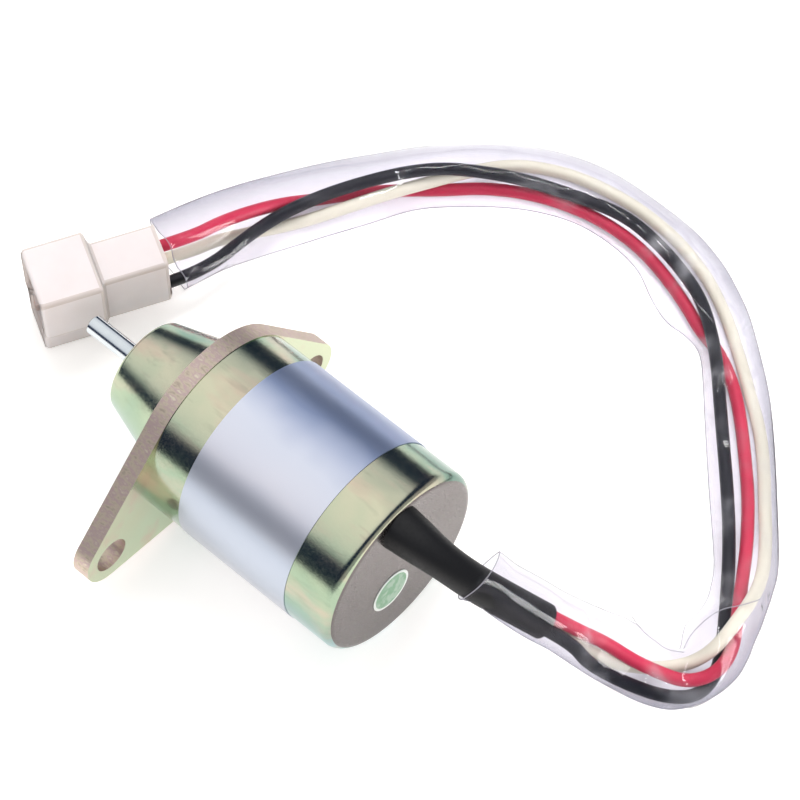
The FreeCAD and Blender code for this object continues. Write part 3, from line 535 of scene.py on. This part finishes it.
# Lay-flat soft PVC tube: each station is its inner edge x, y, z, its outer edge x, y, z, how far the
# film stands above and below them, where the hump is (-1 inner, 1 outer) and how creased it is
sleeveLook = {
    "stations": [
        (64.9, 10.8, 8.6, 66.4, -1.6, 8.6, 4.3, 3.9, 0.35, 0.0),
        (67, 11.2, 7.2, 68.3, 0.3, 7.2, 4.3, 3.9, 0.3, 0.0),
        (68.9, 12.1, 5.6, 70.7, 0.9, 5.6, 4.3, 3.9, 0.3, 0.0),
        (72.4, 14.4, 2.2, 74.6, 2.6, 2.2, 4.3, 3.9, 0.3, 0.0),
        (75.1, 16, -0.5, 78, 4.3, -0.5, 4.3, 3.9, 0.3, 0.0),
        (77.5, 18.2, -4, 80.9, 6.6, -4, 4.1, 3.6, 0.3, 0.0),
        (79.5, 20.6, -7.5, 84.4, 8.4, -7.5, 3.6, 3.4, 0.3, 0.9),
        (81.5, 23, -11, 88.1, 10.4, -11, 3.2, 3.4, 0.3, 0.9),
        (83.5, 25.1, -13.5, 92.5, 12.3, -13.5, 2.8, 3.4, 0.2, 0.9),
        (86.3, 26.5, -15.5, 97.5, 14.5, -15.5, 2.6, 3.6, 0.2, 0.9),
        (89.6, 27.1, -16.5, 102.4, 17.9, -16.5, 3.2, 3.6, 0.2, 0.9),
        (92.8, 27.4, -17, 105.6, 24.4, -17, 4.2, 3.1, 0.1, 0.9),
        (94.4, 28.5, -17, 106.4, 30.6, -17, 5.4, 3.1, 0.1, 0.5),
        (93.4, 30.4, -17, 105.6, 35, -17, 6.2, 3.1, 0.1, 0.3),
        (92, 33.1, -17, 104.2, 38.9, -17, 6.4, 3.1, 0.1, 0.35),
        (92.2, 35.9, -17, 102.8, 42.8, -17, 5.8, 3.1, 0.1, 0.35),
        (91.8, 39.1, -17, 101.6, 45.6, -17, 4.9, 3.1, 0.1, 0.35),
        (90.6, 42.1, -17, 100.2, 48.9, -17, 4.2, 3.1, 0, 0.35),
        (87.1, 47.4, -17, 97, 54.7, -17, 3.2, 3.1, 0, 0.35),
        (77.3, 57.8, -17, 86.8, 66.8, -17, 2.7, 3.1, 0, 0.45),
        (67.4, 68.5, -17, 76.5, 78.2, -17, 2.9, 3.1, 0, 0.45),
        (60, 76.7, -17, 69.5, 84.9, -17, 3.2, 3.1, 0, 1), (55, 81.5, -17, 63.8, 89.4, -17, 3.6, 3.1, 0, 1),
        (50, 82.6, -17, 58, 94, -17, 3.8, 3.1, 0, 1), (45.4, 82.6, -17, 51, 98.2, -17, 3.8, 3.1, 0, 1),
        (39.5, 84.9, -17, 43.8, 101.3, -17, 3.8, 3.1, 0, 1),
        (33.2, 88.3, -17, 36, 103, -17, 3.6, 3.1, 0, 1), (25, 89.4, -17, 27, 103.6, -17, 3.6, 3.1, 0, 0.4),
        (16.9, 88.6, -17, 15.5, 103.2, -17, 3.6, 3.1, 0, 0.4),
        (9.5, 85.6, -17, 6.7, 101.2, -17, 4, 3.1, 0, 0.4),
        (3.5, 81.8, -17, -2.1, 97, -17, 4.8, 3.1, 0, 0.4),
        (-3, 76.3, -17, -10.3, 90.7, -17, 5.8, 3.1, 0, 0.12),
        (-9.4, 69.6, -17, -17.9, 82.8, -16.5, 4.6, 3.1, 0, 0.12),
        (-13.9, 61.1, -17, -24.6, 73, -15.5, 4.2, 3.3, 0, 0.12),
        (-18, 53.5, -17, -29.4, 64.7, -14, 4, 3.5, 0, 0.12),
        (-22, 46, -17, -34, 54.9, -12.2, 4, 3.7, 0, 0.12),
        (-25.5, 39, -16.8, -37.3, 46.3, -10.2, 3.4, 3.4, 0, 0.12),
        (-28.3, 32.5, -16.5, -39.3, 38.7, -8.2, 2.8, 2.8, 0, 0.12),
        (-30.2, 24.4, -16, -42.1, 27.6, -6, 2, 2, 0, 0.12),
    ],
    "between": 6,  # rows from one station to the next
    "around": 48, "wall": 0.1, "mouthRow": 0.02,  # a narrow row at each mouth, as a share of a station
    "clearance": 0.35, "archWidth": 2.2,  # from a cord to the film over it, and how wide it arches there
    "cordNear": 2.0, "cordFar": 22.0,  # a cord's points this near a row are held by it
    "levelled": 3,  # rows before and after that share a row's direction and width
    "topPower": 2.2, "bottomPower": 3.5,  # the larger, the flatter the film and the tighter its sides
    "sideFrom": 0.98,  # the pressed sides aren't lifted by a cord
    "foldMm": 0.55, "foldSizeMm": 11.0, "foldSharpness": 5.0, "swellMm": 0.25, "sidePower": 4,
    "bottomShare": 0.3, "aboveFloor": 0.02, "seed": 3.7,
}


def smoothRow(rows, at):
    # a smooth curve through all rows of a table (Catmull-Rom), at any place between them
    i = min(int(at), len(rows) - 2)
    t = at - i
    spots = [rows[max(0, min(len(rows) - 1, i + k))] for k in (-1, 0, 1, 2)]
    weights = ((-t + 2 * t * t - t ** 3) / 2, (2 - 5 * t * t + 3 * t ** 3) / 2,
               (t + 4 * t * t - 3 * t ** 3) / 2, (t ** 3 - t * t) / 2)
    return [sum(w * spot[k] for w, spot in zip(weights, spots)) for k in range(len(rows[0]))]


def alongCord(route, steps=6):
    # points along the same curve as a lead of this route
    spots = [Vector(point) for point in route]
    middles = [(a + b) / 2 for a, b in zip(spots, spots[1:])]
    middles[0], middles[-1] = spots[0], spots[-1]
    found = []
    for before, spot, after in zip(middles, spots[1:-1], middles[1:]):
        for k in range(steps):
            t = k / steps
            found.append(before * (1 - t) ** 2 + spot * 2 * t * (1 - t) + after * t * t)
    return found


def crossing(look, cords, middle, forward, side, up):
    # where each cord passes through the sleeve here: across, height and the room that it needs
    found = []
    for spots, room in cords:
        near = [spot - middle for spot in spots if abs((spot - middle).dot(forward)) < look["cordNear"]]
        found += [(spot.dot(side), spot.dot(up), room) for spot in near if spot.length < look["cordFar"]]
    return found


def sleeveRows(look):
    last = len(look["stations"]) - 1
    places = [i / look["between"] for i in range(1, last * look["between"])]
    mouth = look["mouthRow"]
    return [smoothRow(look["stations"], place) for place in [0, mouth] + places + [last - mouth, last]]


def sleeveStands(look, rows, cords):
    # for each row its middle, the ways across and up, the cords that it holds and its two sides
    middles = [(Vector(row[0:3]) + Vector(row[3:6])) / 2 for row in rows]
    level = look["levelled"]
    stands, reaches = [], []
    for i, row in enumerate(rows):
        forward = (middles[min(i + level, len(rows) - 1)] - middles[max(i - level, 0)]).normalized()
        side = (Vector(row[3:6]) - Vector(row[0:3])) / 2
        halfWidth = side.length
        side.normalize()
        up = side.cross(forward).normalized()
        if up.z < 0:
            up = -up
        held = crossing(look, cords, middles[i], forward, side, up)
        stands.append((middles[i], side, up, held))
        reaches.append((min([-halfWidth] + [across - room for across, height, room in held]),
                        max([halfWidth] + [across + room for across, height, room in held])))
    sides = []
    for i in range(len(rows)):
        around = reaches[max(0, i - level):i + level + 1]
        sides.append([sum(reach[k] for reach in around) / len(around) for k in (0, 1)])
    return [stand + tuple(pair) for stand, pair in zip(stands, sides)]


def filmHeight(look, row, across, onTop):
    # the bare film's height over its sides: across runs from -1 inside the loop to 1 outside it
    above, below, hump = row[6:9]
    far = (across - hump) / (1 - hump) if across > hump else (across - hump) / (-1 - hump)
    if onTop:
        return above * (1 - abs(far) ** look["topPower"])
    return -below * (1 - abs(far) ** look["bottomPower"])


def draped(look, lift, at, held, onTop):
    # the film arches over each cord that it lies on, and under each that lies on it
    for across, height, room in held:
        arch = room - (at - across) ** 2 / (look["archWidth"] * room)
        if arch > 0:
            lift = max(lift, height + arch) if onTop else min(lift, height - arch)
    return lift


def wrinkles(look, place, onTop):
    # broad swells, and folds that are sharp lines with flat film between
    spot = Vector((place.x, place.y, look["seed"] if onTop else 3 * look["seed"]))
    swell = noise.noise(spot / (2 * look["foldSizeMm"]))
    return swell, max(0.0, 1 - look["foldSharpness"] * abs(noise.noise(spot / look["foldSizeMm"])))


def filmRing(look, row, stand):
    # one row round the film: each point with how creased and how far outside the loop it is
    middle, side, up, held, inner, outer = stand
    creased = row[9]
    ring = []
    for k in range(look["around"]):
        angle = 2 * math.pi * k / look["around"]
        across, onTop = math.cos(angle), math.sin(angle) >= 0
        at = (inner + outer) / 2 + (outer - inner) / 2 * across
        lift = filmHeight(look, row, across, onTop)
        if abs(across) < look["sideFrom"]:
            lift = draped(look, lift, at, held, onTop)
        place = middle + side * at + up * lift
        swell, ridge = wrinkles(look, place, onTop)
        rise = look["swellMm"] * swell + look["foldMm"] * creased * ridge
        rise *= 1 - abs(across) ** look["sidePower"]
        place += up * (rise if onTop else -look["bottomShare"] * rise)
        place.z = max(place.z, lowCorner.z / mm + look["aboveFloor"])
        ring.append((place * mm, creased * ridge, max(0.0, across) ** 2))
    return ring


def makeSleeve(look, material, cords):
    rows = sleeveRows(look)
    rings = [filmRing(look, row, stand) for row, stand in zip(rows, sleeveStands(look, rows, cords))]
    mesh = bmesh.new()
    creaseLayer = mesh.verts.layers.float.new("crease")
    outsideLayer = mesh.verts.layers.float.new("outside")
    corners = []
    for ring in rings:
        corners.append([mesh.verts.new(place) for place, crease, outside in ring])
        for corner, (place, crease, outside) in zip(corners[-1], ring):
            corner[creaseLayer], corner[outsideLayer] = crease, outside
    for first, second in zip(corners, corners[1:]):
        for k in range(look["around"]):
            n = (k + 1) % look["around"]
            mesh.faces.new((first[k], first[n], second[n], second[k]))
    bmesh.ops.recalc_face_normals(mesh, faces=mesh.faces)
    data = bpy.data.meshes.new("clearSleeve")
    mesh.to_mesh(data)
    mesh.free()
    for face in data.polygons:
        face.use_smooth = True
    data.materials.append(material)
    sleeve = addObject("clearSleeve", data)
    sleeve.visible_shadow = False  # clear film hardly dims the light on what lies in it
    wall = sleeve.modifiers.new("wall", "SOLIDIFY")
    wall.thickness = look["wall"] * mm
    wall.offset = -1
    return sleeve, [[place for place, crease, outside in ring] for ring in rings]


# Soft clear PVC film, blown: glossy and clear, faintly lavender and milky along its creases; on the loop's
# outside it is painted greyer, a painted shade
filmLook = {"tint": "#ebeaef", "outsidePaintedShade": "#cacad1", "roughness": 0.03, "ior": 1.17,
            "scuffMm": 7.0,
            "milkiness": {"From Min": 0.45, "From Max": 0.65, "To Min": 0.02, "To Max": 0.16}}


def makeSleeveFilm(name, look):
    material, tree = newMaterial(name)
    place = addNode(tree, "ShaderNodeTexCoord").outputs["Object"]
    creased = addNode(tree, "ShaderNodeAttribute", {"attribute_name": "crease"}).outputs["Fac"]
    outside = addNode(tree, "ShaderNodeAttribute", {"attribute_name": "outside"}).outputs["Fac"]
    scuffed = addNode(tree, "ShaderNodeMapRange", look["milkiness"],
                      {"Value": grain(tree, place, look["scuffMm"])})
    milky = addNode(tree, "ShaderNodeMath", {"operation": "MULTIPLY"}, {0: creased, 1: scuffed})
    clear = addNode(tree, "ShaderNodeMath", {"operation": "SUBTRACT", 0: 1.0}, {1: milky})
    # the film's tint, painted greyer towards the loop's outside: painted shade
    tint = addNode(tree, "ShaderNodeMix", {"data_type": "RGBA", mixFirst: linear(look["tint"]),
                                           mixSecond: linear(look["outsidePaintedShade"])}, {mixFactor: outside})
    surface(tree, {"Roughness": look["roughness"], "IOR": look["ior"]},
            {"Base Color": tint.outputs[mixed], "Transmission Weight": clear})
    return material


room = cableLook["leadRadius"] + sleeveLook["clearance"]
heldCords = [(alongCord(route), room) for route in leadRoutes.values()]
sleeve, filmRings = makeSleeve(sleeveLook, makeSleeveFilm("clearPvcFilm", filmLook), heldCords)
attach(sleeve, "root")
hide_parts("clear_sleeve")
print("sleeve done")

# The cut ends, the two pressed sides and the sharp folds of the film show as fine lines: beads that
# Geometry Nodes lay along it. An end is a row of the film, a side a step round it, a fold a path in x, y
beadLook = {
    "radiusMm": 0.09, "sideRadiusMm": 0.06, "profileSides": 6,
    "ends": {"mouthBead": 0, "endBead": -1},
    "folds": {"flapBead": [(95.8, 27.9), (95.1, 30.5), (95.7, 33.8), (97.0, 37.5), (99.1, 40.9),
                           (100.4, 44.6)],
              "foldBead": [(84.0, 26.8), (88.0, 25.8), (91.4, 25.7), (94.1, 25.9), (96.6, 27.0)]},
    "sides": {"outerCrease": 0, "innerCrease": sleeveLook["around"] // 2},
    "steps": 6, "levelled": 2,  # steps between two points of a fold, and how many share a height
}


def beadTree(look, material):
    tree = bpy.data.node_groups.new("filmBead", "GeometryNodeTree")
    sizes = namedInputs(tree, {"Geometry": ("Geometry", None), "Radius": ("Float", look["radiusMm"] * mm)})
    path = addNode(tree, "GeometryNodeMeshToCurve", links={"Mesh": sizes["Geometry"]})
    profile = addNode(tree, "GeometryNodeCurvePrimitiveCircle", {"Resolution": look["profileSides"]},
                      {"Radius": sizes["Radius"]})
    bead = addNode(tree, "GeometryNodeCurveToMesh", {"Fill Caps": True},
                   {"Curve": path, "Profile Curve": profile})
    return closeTree(tree, bead, material)


def onFilm(look, rings, places):
    # the path given as x, y in mm, laid on the upper side of the film
    upper = [spot for ring in rings for spot in ring[:len(ring) // 2 + 1]]
    steps, level = look["steps"], look["levelled"]
    fine = [Vector(smoothRow(places, i / steps)) * mm for i in range(steps * (len(places) - 1) + 1)]
    heights = [min(upper, key=lambda spot: (spot.xy - place).length).z for place in fine]
    shared = [heights[max(0, i - level):i + level + 1] for i in range(len(heights))]
    return [Vector((place.x, place.y, sum(near) / len(near))) for place, near in zip(fine, shared)]


def pathMesh(name, spots, closed):
    data = bpy.data.meshes.new(name)
    edges = [(i, i + 1) for i in range(len(spots) - 1)] + ([(len(spots) - 1, 0)] if closed else [])
    data.from_pydata([tuple(spot) for spot in spots], edges, [])
    return data


# The same film seen edge-on: light has a long way through it there, so it looks grey
cutEdge = plainFinish("pvcFilmEdge", {"colours": ["#8f8d97", "#a3a1ab"], "patchMm": 4.0, "grainMm": 1.0,
                                      "roughness": (0.2, 0.3), "bumpMm": 0.0})
beadPaths = {beadName: (filmRings[row], True, beadLook["radiusMm"])
             for beadName, row in beadLook["ends"].items()}
beadPaths.update({beadName: (onFilm(beadLook, filmRings, places), False, beadLook["radiusMm"])
                  for beadName, places in beadLook["folds"].items()})
beadPaths.update({beadName: ([ring[step] for ring in filmRings], False, beadLook["sideRadiusMm"])
                  for beadName, step in beadLook["sides"].items()})
laidBead = beadTree(beadLook, cutEdge)
for beadName, (spots, closed, radiusMm) in beadPaths.items():
    bead = grown(beadName, laidBead, {"Radius": radiusMm * mm}, pathMesh(beadName + "Path", spots, closed))
    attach(bead, "root")
print("film edges done")

# Unfilled nylon, moulded: milky white with a satin skin; its rounded edges are painted greyer, a painted
# shade for the light that the thick translucent plastic holds back there
nylonLook = {"face": ["#ddd3d3", "#e7dfdf"], "edge": ["#c9bdb9", "#d2c8c4"], "cloudMm": 6.0, "skinMm": 0.5,
             "roughness": (0.3, 0.42), "bumpMm": 0.01, "bumpStrength": 0.5, "ior": 1.53,
             "glow": 0.5, "glowColour": (1.0, 0.85, 0.75), "glowMm": 3.0}
# edges sharper than sharpFrom are rounded, and faces flat within flatWithin are joined, in degrees
connectorLook = {"edgeMm": 0.8, "steps": 4, "sharpFrom": 40.0, "flatWithin": 1.15, "mergeMm": 0.001}


def makeNylon(name, colours, look):
    material, tree = newMaterial(name)
    place = addNode(tree, "ShaderNodeTexCoord").outputs["Object"]
    colour = addNode(tree, "ShaderNodeValToRGB", {"stops": evenStops(colours)},
                     {"Fac": grain(tree, place, look["cloudMm"])})
    skin = grain(tree, place, look["skinMm"])
    smoothest, roughest = look["roughness"]
    rough = addNode(tree, "ShaderNodeMapRange", {**noiseSpan, "To Min": smoothest, "To Max": roughest},
                    {"Value": skin})
    surface(tree, {"Subsurface Weight": look["glow"], "Subsurface Radius": look["glowColour"],
                   "Subsurface Scale": look["glowMm"] * mm, "IOR": look["ior"]},
            {"Base Color": colour, "Roughness": rough}, (skin, look["bumpMm"], look["bumpStrength"]))
    return material


def roundedCopy(name, node, look, material, edgeShadeMaterial):
    mesh = bmesh.new()
    mesh.from_mesh(nodes[node].data)
    bmesh.ops.remove_doubles(mesh, verts=mesh.verts, dist=look["mergeMm"] * mm)
    bmesh.ops.dissolve_limit(mesh, angle_limit=math.radians(look["flatWithin"]), verts=mesh.verts,
                             edges=mesh.edges)
    data = bpy.data.meshes.new(name)
    mesh.to_mesh(data)
    mesh.free()
    data.materials.append(material)
    data.materials.append(edgeShadeMaterial)
    made = addObject(name, data)
    soft = made.modifiers.new("edges", "BEVEL")
    # the rounded edges take the second material: painted edge shade
    soft.material = 1
    soft.width = look["edgeMm"] * mm
    soft.segments = look["steps"]
    soft.use_clamp_overlap = False
    soft.limit_method = "ANGLE"
    soft.angle_limit = math.radians(look["sharpFrom"])
    soft.harden_normals = True
    return made


housing = roundedCopy("connectorHousing", "connector_housing", connectorLook,
                      makeNylon("milkyNylon", nylonLook["face"], nylonLook),
                      makeNylon("milkyNylonPaintedEdgeShade", nylonLook["edge"], nylonLook))
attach(housing, "root")
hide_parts("connector_housing")
print("connector done")

# The stage in metres: white paper that the camera sees almost burnt out, in a light tent. Polished metal
# mirrors a tent of its own, from the floor up: height of the ray and its grey. The dark gap between floor
# and top light leans, lower on the nose's side
stageLook = {
    "floorColour": "#f6f3f0", "floorLift": 0.36, "floorRadius": 2.0, "floorCentre": (0.03, 0.03),
    "floorSides": 64, "floorGap": 0.0001, "worldColour": "#ffffff", "worldStrength": 0.75,
    "mirrored": [(-0.3, "#b1b1b5"), (-0.08, "#a0a0a6"), (0.0, "#1f2b42"), (0.4, "#22304a"),
                 (0.58, "#eaebf0"), (0.9, "#ffffff")],
    "mirroredStrength": 1.15, "lean": 0.45, "leanFrom": -0.36,
}


def floorMaterial(look):
    # the paper's own light is seen, but lights nothing
    material, tree = newMaterial("whitePaper")
    path = addNode(tree, "ShaderNodeLightPath").outputs
    seen = addNode(tree, "ShaderNodeMath", {"operation": "MAXIMUM"},
                   {0: path["Is Camera Ray"], 1: path["Is Glossy Ray"]})
    seen = addNode(tree, "ShaderNodeMath", {"operation": "MAXIMUM"},
                   {0: seen, 1: path["Is Transmission Ray"]})
    strength = addNode(tree, "ShaderNodeMath", {"operation": "MULTIPLY", 1: look["floorLift"]}, {0: seen})
    paper = addNode(tree, "ShaderNodeBsdfDiffuse", {"Color": linear(look["floorColour"])})
    lift = addNode(tree, "ShaderNodeEmission", links={"Strength": strength})
    both = addNode(tree, "ShaderNodeAddShader", links={0: paper, 1: lift})
    addNode(tree, "ShaderNodeOutputMaterial", links={"Surface": both})
    return material


def makeFloor(look):
    mesh = bmesh.new()
    centre = Matrix.Translation((*look["floorCentre"], lowCorner.z - look["floorGap"]))
    bmesh.ops.create_circle(mesh, cap_ends=True, segments=look["floorSides"], radius=look["floorRadius"],
                            matrix=centre)
    data = bpy.data.meshes.new("paperFloor")
    mesh.to_mesh(data)
    mesh.free()
    data.materials.append(floorMaterial(look))
    floor = addObject("paperFloor", data)


def makeWorld(look):
    world = bpy.data.worlds.new("lightTent")
    bpy.context.scene.world = world
    world.use_nodes = True
    tree = world.node_tree
    tree.nodes.clear()
    path = addNode(tree, "ShaderNodeLightPath").outputs
    ray = addNode(tree, "ShaderNodeTexCoord").outputs["Generated"]
    way = addNode(tree, "ShaderNodeSeparateXYZ", links={"Vector": ray}).outputs
    across = addNode(tree, "ShaderNodeMath", {"operation": "SUBTRACT", 1: look["leanFrom"]}, {0: way["X"]})
    lean = addNode(tree, "ShaderNodeMath", {"operation": "MULTIPLY", 1: look["lean"]}, {0: across})
    height = addNode(tree, "ShaderNodeMath", {"operation": "SUBTRACT"}, {0: way["Z"], 1: lean})
    lowest, highest = look["mirrored"][0][0], look["mirrored"][-1][0]
    share = addNode(tree, "ShaderNodeMapRange", {"From Min": lowest, "From Max": highest}, {"Value": height})
    stops = [((at - lowest) / (highest - lowest), hexColour) for at, hexColour in look["mirrored"]]
    gap = addNode(tree, "ShaderNodeValToRGB", {"stops": stops}, {"Fac": share})
    # the camera sees the tent at full white, which lights the object a little less
    strength = addNode(tree, "ShaderNodeMapRange", {"To Min": look["worldStrength"]},
                       {"Value": path["Is Camera Ray"]})
    plain = addNode(tree, "ShaderNodeBackground", {"Color": linear(look["worldColour"])},
                    {"Strength": strength})
    mirrored = addNode(tree, "ShaderNodeBackground", {"Strength": look["mirroredStrength"]}, {"Color": gap})
    both = addNode(tree, "ShaderNodeMixShader", links={"Fac": path["Is Glossy Ray"], 1: plain, 2: mirrored})
    addNode(tree, "ShaderNodeOutputWorld", links={"Surface": both})


# Metres and watts. The two boxes light everything and aren't mirrored; the other two light only the film
# and give it its streaks
lamps = {
    "keyBox": {"place": (-0.25, 0.35, 0.75), "aim": (0.03, 0.02, 0), "size": (0.5, 0.35), "power": 4.4},
    "fillBox": {"place": (0.7, -0.3, 0.5), "aim": (0.03, 0.02, 0), "size": (0.4, 0.4), "power": 2.2},
    "filmStrip": {"place": (0.05, 0.12, 0.95), "aim": (0.03, 0.02, 0), "size": (1.1, 0.04), "power": 8.5,
                  "filmOnly": True},
    "filmGlow": {"place": (0.95, 0.38, 0.22), "aim": (0.07, 0.01, 0), "size": (0.6, 1.0), "power": 75.0,
                 "filmOnly": True},
}


def makeLamps(rows, filmPiece):
    receivers = bpy.data.collections.new("filmReceivers")
    receivers.objects.link(filmPiece)
    for name, row in rows.items():
        data = bpy.data.lights.new(name, "AREA")
        data.shape = "RECTANGLE"
        data.size, data.size_y = row["size"]
        data.energy = row["power"]
        lamp = addObject(name, data)
        lamp.location = row["place"]
        lamp.rotation_mode = "QUATERNION"
        lamp.rotation_quaternion = (Vector(row["aim"]) - Vector(row["place"])).to_track_quat("-Z", "Y")
        lamp.visible_transmission = False
        if row.get("filmOnly"):
            lamp.light_linking.receiver_collection = receivers
            lamp.visible_diffuse = False
        else:
            lamp.visible_glossy = False


makeFloor(stageLook)
makeWorld(stageLook)
makeLamps(lamps, sleeve)
print("stage done")
